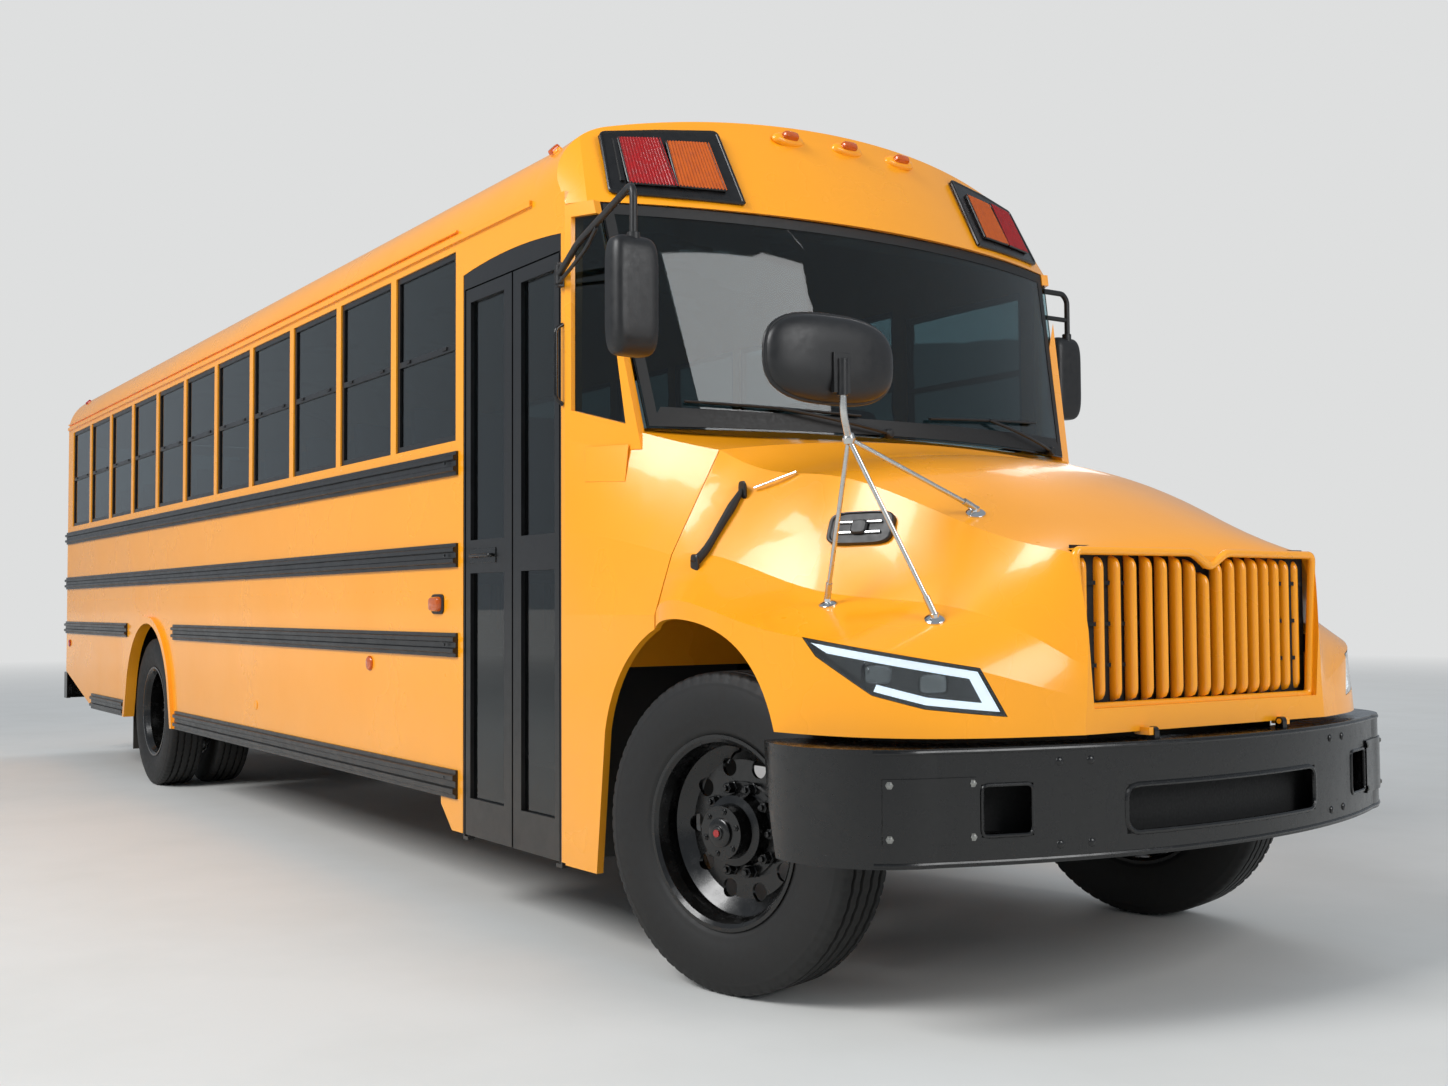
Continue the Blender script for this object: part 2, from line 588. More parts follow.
def along(points, count=14):
    """Points evenly placed on each side of an open line."""
    p = np.asarray(points, float)
    t = np.linspace(0, 1, count, endpoint=False)[None, :, None]
    return np.concatenate([(p[:-1, None] * (1 - t) + p[1:, None] * t).reshape(-1, p.shape[1]), p[-1:]])


LAMP_OUTLINE = np.array([(-0.509, 1.138), (-0.002, 1.052), (0.073, 0.915), (-0.156, 0.938), (-0.304, 0.975),
                         (-0.467, 1.082)])


def skin(front, back):
    """A closed sheet between two grids of points of one size."""
    front, back = np.asarray(front, float), np.asarray(back, float)
    n, m = front.shape[:2]
    p1, f1 = grid(front)
    p2, f2 = grid(back, flip=True)
    rim = [(i, 0) for i in range(n)] + [(n - 1, j) for j in range(1, m)]
    rim += [(i, m - 1) for i in range(n - 2, -1, -1)] + [(0, j) for j in range(m - 2, 0, -1)]
    ids = [i * m + j for i, j in rim]
    count = n * m
    f2 = [[k + count for k in face] for face in f2]
    edge = [[a, b, b + count, a + count] for a, b in zip(ids, ids[1:] + ids[:1])]
    return np.concatenate([p1, p2]), f1 + f2 + edge


def along_face(node, y, z, start=8.0):
    """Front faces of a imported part: x at each y, from rays at one height."""
    return np.array([drop(node, (start, float(a), z), (-1, 0, 0))[0][0] for a in y])


def pillow(centre, half, turn=0.0, rows=28, cols=80, crown=0.012):
    """A closed crowned pad: a superellipsoid. Its top rises as a cosine towards the middle, a welt
    runs round its edge, and stitched grooves cross it at a third of its width."""
    u = np.linspace(-np.pi / 2, np.pi / 2, rows)[:, None]
    v = np.linspace(0, 2 * np.pi, cols, endpoint=False)[None, :]
    bent = lambda w, e: np.sign(w) * np.abs(w) ** e
    x = bent(np.cos(u), 0.30) * bent(np.cos(v), 0.22)
    y = bent(np.cos(u), 0.30) * bent(np.sin(v), 0.22)
    z = bent(np.sin(u), 0.42) + 0 * v
    dome_up = crown * np.cos(x * np.pi / 2.1) * np.cos(y * np.pi / 2.05) * np.sign(z) * np.abs(z)
    groove = lambda at: 0.0045 * np.exp(-((y * half[1] - at) / 0.0055) ** 2)
    seam = (groove(half[1] / 3) + groove(-half[1] / 3)) * np.abs(z) ** 0.5
    welt = 1 + 0.010 * np.exp(-((z - 0.55) / 0.10) ** 2)
    pucker = 0.0012 * np.sin(y * half[1] * 95) * np.abs(x) ** 6
    pucker = pucker + 0.0012 * np.sin(x * half[0] * 95) * np.abs(y) ** 6
    p = np.stack([x * half[0] * welt, y * half[1] * welt,
                  z * (half[2] - crown) + dome_up - seam * np.sign(z) + pucker], -1)
    c, s = np.cos(turn), np.sin(turn)
    q = p.copy()
    q[..., 0] = p[..., 0] * c + p[..., 2] * s
    q[..., 2] = -p[..., 0] * s + p[..., 2] * c
    return grid(q + np.array(centre), wrap_v=True)


def setting(group):
    return getattr(bpy.context.scene, "bus_" + group)


class BusColours(bpy.types.PropertyGroup):
    """Colours that a user would change."""
    paint_hex: bpy.props.StringProperty(name="Body paint", description="sRGB hex colour of the body",
                                        default="#FFA614")
    floor_hex: bpy.props.StringProperty(name="Floor", description="sRGB hex colour of the studio floor",
                                        default="#D9D9D6")


class BusSizes(bpy.types.PropertyGroup):
    """Sizes that a user would change."""
    tread_depth: bpy.props.FloatProperty(name="Tread depth", description="Depth of the tyre's grooves",
                                         default=0.013, unit="LENGTH")
    rivet_pitch: bpy.props.FloatProperty(name="Rivet pitch", description="Distance between rivets",
                                         default=0.11, unit="LENGTH")


class BUS_OT_finishes(bpy.types.Operator):
    """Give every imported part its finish."""
    bl_idname = "bus.finishes"
    bl_label = "Finish the packed parts"

    def execute(self, context):
        slots = {row["node"]: row["material_slot"] for row in frame["record"]["subparts"]}
        for name, obj in frame["nodes"].items():
            obj.data.materials.clear()
            obj.data.materials.append(finish_of(slots[name]))
        return {"FINISHED"}


class BUS_OT_stage(bpy.types.Operator):
    """Pale floor, soft studio light and the camera."""
    bl_idname = "bus.stage"
    bl_label = "Stage"

    def execute(self, context):
        scene = context.scene
        mesh = bpy.data.meshes.new("studio_floor")
        size = 400
        mesh.from_pydata([(-size, -size, 0), (size, -size, 0), (size, size, 0), (-size, size, 0)], [],
                         [[0, 1, 2, 3]])
        floor = bpy.data.objects.new("studio_floor", mesh)
        scene.collection.objects.link(floor)
        paint = surface("matt_floor", setting("colours").floor_hex, 0.85, speck=("#CFCFCB", 900, 0.5))
        tree = paint.node_tree
        far = add(tree, "VectorMath", (300, 400), p_operation="LENGTH",
                  i0=add(tree, "TexCoord", (100, 400)).outputs["Object"])
        fade = add(tree, "MapRange", (500, 400), Value=far.outputs["Value"], From_Min=9.0, From_Max=30.0)
        glow = add(tree, "Emission", (500, -200), Color=linear(PALE), Strength=1.0)
        blend = add(tree, "MixShader", (700, 0), i0=fade.outputs["Result"], i2=glow.outputs["Emission"])
        end = [node for node in tree.nodes if node.type == "OUTPUT_MATERIAL"][0]
        tree.links.new(end.inputs["Surface"].links[0].from_socket, blend.inputs[1])
        tree.links.new(blend.outputs["Shader"], end.inputs["Surface"])
        mesh.materials.append(paint)
        world = bpy.data.worlds.new("studio")
        scene.world = world
        world.use_nodes = True
        tree = world.node_tree
        tree.nodes.clear()
        path = add(tree, "LightPath", (-600, 200))
        seen = add(tree, "Math", (-400, 200), p_operation="MAXIMUM", i0=path.outputs["Is Camera Ray"],
                   i1=path.outputs["Is Transmission Ray"])
        dim = add(tree, "Background", (-200, 0), Color=linear("#C3CCD6"), Strength=0.62)
        pale = add(tree, "Background", (-200, -200), Color=linear(PALE), Strength=1.0)
        mix = add(tree, "MixShader", (0, 0), i0=seen.outputs["Value"], i1=dim.outputs["Background"],
                  i2=pale.outputs["Background"])
        out = add(tree, "OutputWorld", (200, 0))
        tree.links.new(mix.outputs["Shader"], out.inputs["Surface"])
        for name, at, aim, size, power in (("key", (3.0, -13.0, 11.0), (0, 0, 1.5), 7.0, 2100),
                                           ("front", (15.0, 2.0, 7.0), (3, 0, 1.2), 6.0, 650),
                                           ("far", (-9.0, 11.0, 9.0), (0, 0, 1.5), 8.0, 500)):
            lamp = bpy.data.lights.new(name, "AREA")
            lamp.shape = "SQUARE"
            lamp.size = size
            lamp.energy = power
            lamp_object = bpy.data.objects.new(name, lamp)
            scene.collection.objects.link(lamp_object)
            lamp_object.location = at
            lamp_object.rotation_euler = (Vector(aim) - Vector(at)).to_track_quat("-Z", "Y").to_euler()
        yaw, pitch, roll = np.radians((145.847, 2.337, -0.327))
        look = Vector((np.cos(yaw) * np.cos(pitch), np.sin(yaw) * np.cos(pitch), np.sin(pitch)))
        right = look.cross(Vector((0, 0, 1))).normalized()
        up = right.cross(look)
        right2 = right * np.cos(roll) + up * np.sin(roll)
        up2 = up * np.cos(roll) - right * np.sin(roll)
        data = bpy.data.cameras.new("camera")
        data.lens = 37.51
        data.sensor_width = 36
        data.clip_end = 900
        camera = bpy.data.objects.new("camera", data)
        scene.collection.objects.link(camera)
        turn = Matrix((right2, up2, -look)).transposed().to_4x4()
        camera.matrix_world = Matrix.Translation((8.437, -3.811, 1.233)) @ turn
        scene.camera = camera
        scene.view_settings.view_transform = "Standard"
        return {"FINISHED"}


class BUS_OT_cap_lamps(bpy.types.Operator):
    """Warning lamps, marker lamps and their pods, front and rear."""
    bl_idname = "bus.cap_lamps"
    bl_label = "Warning and marker lamps"

    def execute(self, context):
        boards, red, amber = [], [], []
        for side in (-1, 1):
            q = lambda pts: [(side * y, z) for y, z in pts]
            boards.append(cap_sheet(q([(0.604, 2.738), (1.085, 2.745), (1.052, 2.995), (0.612, 3.044)]),
                                    -0.004, 0.014))
            edge = q([(0.600, 2.735), (0.84, 2.738), (1.088, 2.742), (1.056, 2.998), (0.84, 3.024),
                      (0.608, 3.048), (0.600, 2.735)])
            frame_path = cap_face(*np.array(edge).T, 0.010)
            boards.append(tube(bend(frame_path, 0.02), 0.008, 8))
            for group, y0, y1 in ((amber, 0.664, 0.836), (red, 0.850, 1.012)):
                c = [(y0, 2.780), (y1 + 0.008, 2.780), (y1 - 0.006, 2.980), (y0 + 0.004, 2.990)]
                group.append(cap_sheet(q(c), 0.010, 0.030, 0.0022, 14, 120, 6))
                ring = cap_face(*np.array(q(c + c[:1])).T, 0.024)
                boards.append(tube(bend(ring, 0.012), 0.006, 8))
            boards.append(cap_sheet(q([(1.030, 2.790), (1.044, 2.790), (1.024, 2.975), (1.012, 2.975)]),
                                    0.0, 0.024, n=4))
        rear_x = TAIL_X - 0.044
        for side in (-1, 1):
            for group, a, b in ((amber, 0.642, 0.854), (red, 0.876, 1.088)):
                g = patch([(rear_x, side * a, 2.785), (rear_x, side * b, 2.785), (rear_x, side * b, 2.935),
                           (rear_x, side * a, 2.935)], 100, 6)
                reeds = 0.004 + 0.002 * np.cos(np.linspace(0, 36 * np.pi, 100))
                top = g + np.array([-1.0, 0, 0]) * reeds[:, None, None]
                group.append(skin(top, g + np.array([0.002, 0, 0])))
        piece("warning_boards", join(*boards), "lamp_lens", slot="lamp_lens")
        piece("warning_lenses_red", join(*red), "red_lens", slot="lamp_lens", angle=25)
        piece("warning_lenses_amber", join(*amber), "amber_lens", slot="lamp_lens", angle=25)
        pods, bulbs, tails = [], [], []
        for y, z in ((-0.287, 3.062), (0.0, 3.066), (0.287, 3.062)):
            at = cap_face(y, z, -0.004)
            t = np.linspace(0, np.pi / 2, 6)
            crown = [(np.cos(a) * 0.35 + 0.65, 0.022 * np.sin(a)) for a in t]
            pods.append(dome(oval(0.075, 0.030, 2.4), crown, at,
                             (0, 1, 0), (-0.48, 0, 0.87), (0.87, 0, 0.48)))
            bulbs.append(lens(at + np.array([0.016, 0, 0.010]), (0.87, 0, 0.48), 0.038, 0.017, 0.022,
                              (-0.48, 0, 0.87)))
        for side in (-1, 1):
            at = (FRONT - 1.028, side * 1.126, 2.966)
            out = np.array([0.0, side * 0.70, 0.714])
            pods.append(dome(oval(0.036, 0.022, 2.6), [(1, -0.006), (0.95, 0.010), (0.8, 0.014)], at,
                             (1, 0, 0), np.cross(out, (1, 0, 0)), out))
            bulbs.append(lens(np.array(at) + out * 0.012, out, 0.026, 0.015, 0.014, (1, 0, 0)))
            at = (TAIL_X + 0.35, side * 1.126, 2.966)
            tails.append(lens(at, out, 0.026, 0.015, 0.016, (1, 0, 0)))
        for y in (-0.15, 0.0, 0.15):
            tails.append(lens((TAIL_X - 0.001, y, 3.075), (-1, 0, 0), 0.034, 0.014, 0.016))
        piece("marker_pods", join(*pods), "yellow_paint", slot="yellow_paint", bevel=0.002)
        piece("marker_lamps", join(*bulbs), "amber_lens", slot="lamp_lens")
        piece("rear_markers", join(*tails), "red_lens", slot="lamp_lens")
        return {"FINISHED"}


class BUS_OT_side_lamps(bpy.types.Operator):
    """Turn lamps, reflectors, latches and the lamps of the tail."""
    bl_idname = "bus.side_lamps"
    bl_label = "Side and tail lamps"

    def execute(self, context):
        amber, red, clear, black, chrome = [], [], [], [], []
        for side in (-1, 1):
            out = (0, side, 0)
            y = side * HALF
            black.append(dome(oval(0.062, 0.042, 5), [(1, -0.001), (1, 0.006), (0.93, 0.009)],
                              (TURN_LAMP[0], y, TURN_LAMP[1]), (1, 0, 0),
                              np.cross(out, (1, 0, 0)), out))
            amber.append(lens((TURN_LAMP[0], y + side * 0.007, TURN_LAMP[1]), out, 0.052, 0.032, 0.022))
            amber.append(lathe([(0.034, -0.001), (0.034, 0.006), (0.030, 0.011), (0.015, 0.0135),
                                (0.0001, 0.014)],
                               (SIDE_REFLECTOR[0], y, SIDE_REFLECTOR[1]), out, 32))
            red.append(lathe([(0.030, -0.001), (0.030, 0.006), (0.026, 0.010), (0.012, 0.012),
                              (0.0001, 0.0125)],
                             (REAR_SIDE_REFLECTOR[0], y, REAR_SIDE_REFLECTOR[1]), out, 28))
            chrome.append(lathe([(0.026, -0.001), (0.026, 0.003), (0.021, 0.0045), (0.019, 0.003),
                                 (0.0001, 0.003)],
                                (ROUND_LATCH[0], y, ROUND_LATCH[1]), out, 24))
        ring = [(0.104, -0.001), (0.104, 0.014), (0.096, 0.020), (0.088, 0.016), (0.088, 0.004)]
        face_of = lambda r: [(r, -0.001), (r, 0.012), (r * 0.9, 0.018), (r * 0.5, 0.024), (0.0001, 0.026)]
        back = (-1, 0, 0)
        for side in (-1, 1):
            for group, y, z, r in ((red, 0.98, 1.62, 0.088), (amber, 0.70, 1.62, 0.088),
                                   (clear, 0.98, 1.36, 0.060)):
                at = (TAIL_X - 0.0005, side * y, z)
                black.append(lathe([(a * r / 0.088, b) for a, b in ring], at, back, 40))
                group.append(lathe(face_of(r), at, back, 40))
            red.append(lathe(face_of(0.036), (TAIL_X, side * 1.06, 0.90), back, 28))
            red.append(lathe(face_of(0.045), (TAIL_X, side * 0.62, 1.36), back, 28))
        black.append(box(TAIL_X - 0.028, TAIL_X, 0.70, 0.86, 1.125, 1.155))
        for y in (0.78 - 0.0889, 0.78 + 0.0889):
            for z in (1.01 - 0.0603, 1.01 + 0.0603):
                eyelet = [(0.009, 0), (0.009, 0.002), (0.0055, 0.002), (0.0055, 0.0003),
                          (0.0036, 0.0003), (0.0036, -0.004)]
                chrome.append(lathe(eyelet, (TAIL_X, y, z), back, 12))
        piece("side_lamps_amber", join(*amber), "amber_lens", slot="lamp_lens")
        piece("tail_lamps_red", join(*red), "red_lens", slot="lamp_lens")
        piece("reversing_lamps", join(*clear), "clear_lens", slot="lamp_lens")
        piece("lamp_housings", join(*black), "black_plastic", slot="black_plastic", bevel=0.001)
        piece("round_latches", join(*chrome), "yellow_paint", slot="yellow_paint")
        return {"FINISHED"}


class BUS_OT_wheels(bpy.types.Operator):
    """Tyres with tread, wheel nuts, valves and hub caps."""
    bl_idname = "bus.wheels"
    bl_label = "Wheels"

    def execute(self, context):
        for side, name in ((-1, "right"), (1, "left")):
            pin = (FRONT, side * KINGPIN_Y)
            inner = side * (FRONT_WHEEL_Y - TYRE_WIDTH / 2)
            piece("tyre_tread_front_" + name, turned(tyre_shape(side, inner, FRONT), STEER, pin), "tyre",
                  "wheel_front_" + name, "tyre", ("tyre_front_" + name,), angle=50)
            parts = nuts(side, FRONT, inner + side * 0.129, 0.137, 0.030)
            cap_y = inner + side * (0.120 + 0.1155)
            for a in np.linspace(0.3, 0.3 + 2 * np.pi, 6, endpoint=False):
                at = (FRONT + 0.068 * np.cos(a), cap_y - side * 0.001, AXLE_Z + 0.068 * np.sin(a))
                parts.append(bolt(at, (0, side, 0), 0.007, 0.006))
            hub_cap = [(0.046, -0.002), (0.046, 0.006), (0.040, 0.010), (0.022, 0.010), (0.020, 0.016),
                       (0.0001, 0.017)]
            parts.append(lathe(hub_cap, (FRONT, cap_y, AXLE_Z), (0, side, 0), 36))
            parts.append(tube(bend([(FRONT + 0.0, inner + side * 0.10, AXLE_Z + 0.252),
                                    (FRONT, inner + side * 0.165, AXLE_Z + 0.25),
                                    (FRONT, inner + side * 0.195, AXLE_Z + 0.215)], 0.02), 0.0045, 8))
            piece("wheel_nuts_front_" + name, turned(join(*parts), STEER, pin), "black_steel",
                  "wheel_front_" + name, "black_steel", bevel=0.0012)
            plug = lathe([(0.012, 0), (0.012, 0.003), (0.0001, 0.0035)],
                         (FRONT, cap_y + side * 0.0168, AXLE_Z), (0, side, 0), 20)
            piece("hub_plug_front_" + name, turned(plug, STEER, pin), "red_lens", "wheel_front_" + name,
                  "lamp_lens")
            tyres = [tyre_shape(side, side * (REAR_WHEEL_Y + place - TYRE_WIDTH / 2), REAR)
                     for place in (-TWIN_OFFSET, TWIN_OFFSET)]
            piece("tyre_tread_rear_" + name, join(*tyres), "tyre", "wheels_rear_" + name, "tyre",
                  ("tyres_rear_" + name,), angle=50)
            parts = nuts(side, REAR, side * 0.9665, 0.136, 0.034)
            for a in np.linspace(0, 2 * np.pi, 8, endpoint=False):
                parts.append(bolt((REAR + 0.074 * np.cos(a), side * 1.0795, AXLE_Z + 0.074 * np.sin(a)),
                                  (0, side, 0), 0.008, 0.008))
            piece("wheel_nuts_rear_" + name, join(*parts), "black_steel", "wheels_rear_" + name,
                  "black_steel", bevel=0.0012)
        return {"FINISHED"}


class BUS_OT_mirrors(bpy.types.Operator):
    """Flat mirrors on tube arms and the oval mirror over the hood."""
    bl_idname = "bus.mirrors"
    bl_label = "Mirrors"

    def execute(self, context):
        black, glass = [], []
        at = np.array((4.390, -1.400, 2.205))
        shell, pane = mirror_head(at, 0.085, 0.190, 0.044)
        black += [shell, tube(bend([(3.575, -1.235, 2.440), (3.820, -1.290, 2.500), (4.385, -1.400, 2.565),
                                    (4.385, -1.400, 2.380)], 0.05), 0.0125, 14)]
        black.append(box(3.568, 3.588, -1.246, -1.219, 2.395, 2.485))
        black += [tube([(3.578, -1.236, 2.405), (3.578, -1.236, 2.475)], 0.016, 14),
                  tube([(4.385, -1.400, 2.360), (4.385, -1.400, 2.405)], 0.021, 16),
                  tube(bend([(3.578, -1.238, 2.408), (3.90, -1.302, 2.462), (4.02, -1.328, 2.508)], 0.05),
                       0.007, 10)]
        glass.append(pane)
        at = np.array((3.580, 1.400, 2.270))
        shell, pane = mirror_head(at, 0.085, 0.190, 0.044)
        loop = bend([(3.582, 1.224, 2.660), (3.582, 1.385, 2.660), (3.582, 1.412, 2.630),
                     (3.582, 1.412, 2.440)], 0.04)
        black += [shell, tube(loop, 0.0125, 14),
                  tube([(3.582, 1.224, 2.540), (3.582, 1.400, 2.540)], 0.011, 12),
                  box(3.556, 3.606, 1.219, 1.232, 2.50, 2.70),
                  tube([(3.582, 1.408, 2.425), (3.582, 1.408, 2.475)], 0.021, 16)]
        glass.append(pane)
        piece("flat_mirrors", join(*black), "black_plastic", slot="black_plastic", replaces=("mirrors",),
              bevel=0.002)
        piece("flat_mirror_glass", join(*glass), "mirror", slot="black_plastic")
        hub = np.array((FRONT + 0.650, -1.060, 1.712))
        top = hub + np.array((-0.010, -0.050, 0.230))
        t = np.linspace(0, np.pi / 2, 10)
        profile = [(0.96, -0.026), (1.0, -0.020), (1.0, -0.008)] + [
            (0.30 + 0.68 * np.cos(a), 0.044 * np.sin(a) - 0.006) for a in t]
        bowl = dome(oval(0.235, 0.128, 2.8, 72), profile, top, (0, 1, 0), (0, 0, 1), (1, 0, 0))
        rim = np.append(oval(0.235, 0.128, 2.8, 72), oval(0.235, 0.128, 2.8, 72)[:2], 0)
        rim = np.stack([0 * rim[:, 0] + top[0] - 0.014, top[1] + rim[:, 0] * 0.985,
                        top[2] + rim[:, 1] * 0.985], 1)
        stem = [box(top[0] + 0.030, top[0] + 0.046, top[1] - 0.030, top[1] + 0.030, top[2] - 0.105,
                    top[2] + 0.012),
                tube([top + np.array((0.046, 0, -0.006)), top + np.array((0.046, 0, -0.112))], 0.016, 16),
                tube(rim, 0.008, 10, caps=False)]
        piece("oval_mirror", join(bowl, *stem), "black_plastic", "hood", "black_plastic",
              ("cross_mirror",), bevel=0.0025)
        bulge = dome(oval(0.222, 0.117, 2.8, 72),
                     [(1.0, 0.0), (0.9, -0.006), (0.6, -0.013), (0.25, -0.0165)],
                     top + np.array((-0.022, 0, 0)), (0, 1, 0), (0, 0, 1), (1, 0, 0))
        piece("oval_mirror_glass", bulge, "mirror", "hood", "black_plastic")
        arm = tube(bend([top + np.array((0.046, 0, -0.100)), top + np.array((0.044, 0.004, -0.165)), hub],
                        0.04), 0.0105, 14)
        ball = [(0.0001, -0.02), (0.014, -0.016), (0.02, 0), (0.014, 0.016), (0.0001, 0.02)]
        legs, feet = [arm, lathe(ball, hub, (0, 0, 1), 20)], []
        for foot_x, foot_y in ((0.420, -0.960), (0.800, -0.870), (0.690, -0.600)):
            spot, normal = drop("hood", (FRONT + foot_x, foot_y, 3.0), (0, 0, -1))
            feet.append(lathe([(0.030, 0.0), (0.030, 0.004), (0.024, 0.009), (0.013, 0.012),
                               (0.011, 0.022), (0.0001, 0.023)],
                              spot, normal, 28))
            legs.append(tube([spot + normal * 0.018, hub], 0.0075, 12))
            sleeve_end = spot + normal * 0.018 + (hub - spot) * 0.10
            legs.append(tube([spot + normal * 0.016, sleeve_end], 0.0105, 12))
        piece("mirror_legs", join(*legs), "stainless", "hood", "black_plastic")
        piece("mirror_feet", join(*feet), "chrome", "hood", "black_plastic")
        return {"FINISHED"}


class BUS_OT_headlights(bpy.types.Operator):
    """Headlights: dark tray, lit strip, two projector lenses and a clear cover."""
    bl_idname = "bus.headlights"
    bl_label = "Headlights"

    def execute(self, context):
        u, out, up = np.array((0.66, 0.75, 0)), np.array((0.75, -0.66, 0)), np.array((0, 0, 1.0))
        u, out = u / np.linalg.norm(u), out / np.linalg.norm(out)
        origin = np.array((FRONT, 0, 0))
        inner = inset_polygon(LAMP_OUTLINE, 0.008)
        top, low = along([inner[0], inner[1]], 12), along([inner[5], inner[4], inner[3], inner[2]], 4)
        spots = [tuple(top[i] * (1 - w) + low[i] * w)
                 for i in range(0, 13, 2) for w in (0.06, 0.35, 0.65, 0.94)]
        place = fitted("headlights", origin, u, up, out, spots, 2.0)
        big = inset_polygon(LAMP_OUTLINE, 0.0015)
        rails = along([big[0], big[1]], 12), along([big[5], big[4], big[3], big[2]], 4)
        w = np.linspace(0, 1, 8)[None, :, None]
        sheet = rails[0][:, None] * (1 - w) + rails[1][:, None] * w
        s, t = sheet[..., 0], sheet[..., 1]
        cover = skin(place(s, t, -0.0005), place(s, t, -0.0035))
        tray = skin(place(s, t, -0.034), place(s, t, -0.050))

        def ribbon(first, second, depth_1, depth_2):
            return np.stack([place(first[:, 0], first[:, 1], depth_1),
                             place(second[:, 0], second[:, 1], depth_2)], 1)

        wall = along(np.concatenate([big, big[:1]]), 10)
        inner_edge = inset_polygon(LAMP_OUTLINE, 0.006)
        wall_in = along(np.concatenate([inner_edge, inner_edge[:1]]), 10)
        walls = skin(ribbon(wall_in, wall_in, -0.0045, -0.040), ribbon(wall, wall, -0.0045, -0.040))
        a, b = inset_polygon(LAMP_OUTLINE, 0.012), inset_polygon(LAMP_OUTLINE, 0.033)
        b[1] += (-0.010, 0.0)
        b[2] += (-0.012, 0.0)
        outer, inner_line = along(a[:5], 12), along(b[:5], 12)
        strip = skin(ribbon(outer, inner_line, -0.009, -0.011), ribbon(outer, inner_line, -0.016, -0.018))
        eyes, bezels = [], []
        for s0, t0 in ((-0.285, 1.034), (-0.135, 1.008)):
            at = place(np.array(s0), np.array(t0), -0.034)
            n = np.array((0.86, -0.51, 0.0))
            n /= np.linalg.norm(n)
            side = np.cross(up, n)
            bezels.append(dome(oval(0.050, 0.036, 5, 40),
                               [(1.0, 0.0), (1.0, 0.012), (0.86, 0.014), (0.84, 0.004)], at, side, up, n))
            eyes.append(dome(oval(0.040, 0.028, 4, 40),
                             [(1.0, 0.003), (0.97, 0.010), (0.85, 0.016), (0.6, 0.020), (0.25, 0.022)],
                             at, side, up, n))
        for shape, name, finish, slot in ((cover, "lamp_covers", "headlamp", "headlamp"),
                                          (join(tray, walls, *bezels), "lamp_trays", "lamp_inside",
                                           "headlamp"),
                                          (strip, "lamp_strips", "light_strip", "headlamp"),
                                          (join(*eyes), "lamp_projectors", "clear_lens", "headlamp")):
            piece(name, join(shape, mirrored(shape)), finish, "hood", slot,
                  ("headlights",) if name == "lamp_trays" else (), angle=40)
        return {"FINISHED"}


class BUS_OT_grille(bpy.types.Operator):
    """Upright slats with rounded ends, a surround and the dark screen behind."""
    bl_idname = "bus.grille"
    bl_label = "Grille"

    def execute(self, context):
        count = 17
        slats = []
        for y in np.linspace(-0.498, 0.498, count):
            top = 1.374 - max(0.0, 0.050 * (1 - abs(y) / 0.080))
            low = 0.940
            face_x = 5.436 + 0.012 - 0.040 * (y / 0.5) ** 2
            h = np.linspace(0, 1, 34)
            z = low + (top - low) * h
            ends = np.clip(np.minimum(h, 1 - h) * (top - low) / 0.040, 0, 1)
            full = np.sqrt(1 - (1 - ends) ** 2) * 0.92 + 0.08
            a = np.linspace(0, 2 * np.pi, 16, endpoint=False)
            c, s = np.cos(a), np.sin(a)
            wide = 0.0150 * np.sign(s) * np.abs(s) ** 0.8
            deep = np.where(c > 0, 0.024 * np.abs(c) ** 0.9, -0.014 * np.abs(c) ** 0.5)
            sweep = (0.016 * (1 - full))[:, None]
            px = face_x - 0.020 + deep[None, :] * full[:, None] - sweep
            py = y + wide[None, :] * (0.55 + 0.45 * full[:, None])
            pts = np.stack([px, py, np.broadcast_to(z[:, None], px.shape)], -1)
            p, f = grid(pts, wrap_v=True)
            slats.append((p, f + [list(range(16)), [len(p) - 1 - i for i in range(16)]]))
        path = np.array([(-0.518, 0.932), (0.518, 0.932), (0.556, 1.383), (0.078, 1.383), (0, 1.338),
                         (-0.078, 1.383), (-0.556, 1.383), (-0.518, 0.932)])
        line = np.stack([5.458 - 0.030 * (path[:, 0] / 0.55) ** 2, path[:, 0], path[:, 1]], 1)
        rim = tube(bend(np.concatenate([line, line[1:2]]), 0.022), 0.013, 14, caps=False)
        piece("grille_slats", join(*slats, rim), "yellow_paint", "hood", "yellow_paint", ("grille",),
              angle=50)
        screen = box(5.395, 5.399, -0.545, 0.545, 0.925, 1.40)
        bars = [box(5.399, 5.407, -0.53, 0.53, z - 0.006, z + 0.006) for z in (1.05, 1.17, 1.29)]
        piece("grille_screen", join(screen, *bars), "dark_void", "hood", "black_plastic")
        return {"FINISHED"}


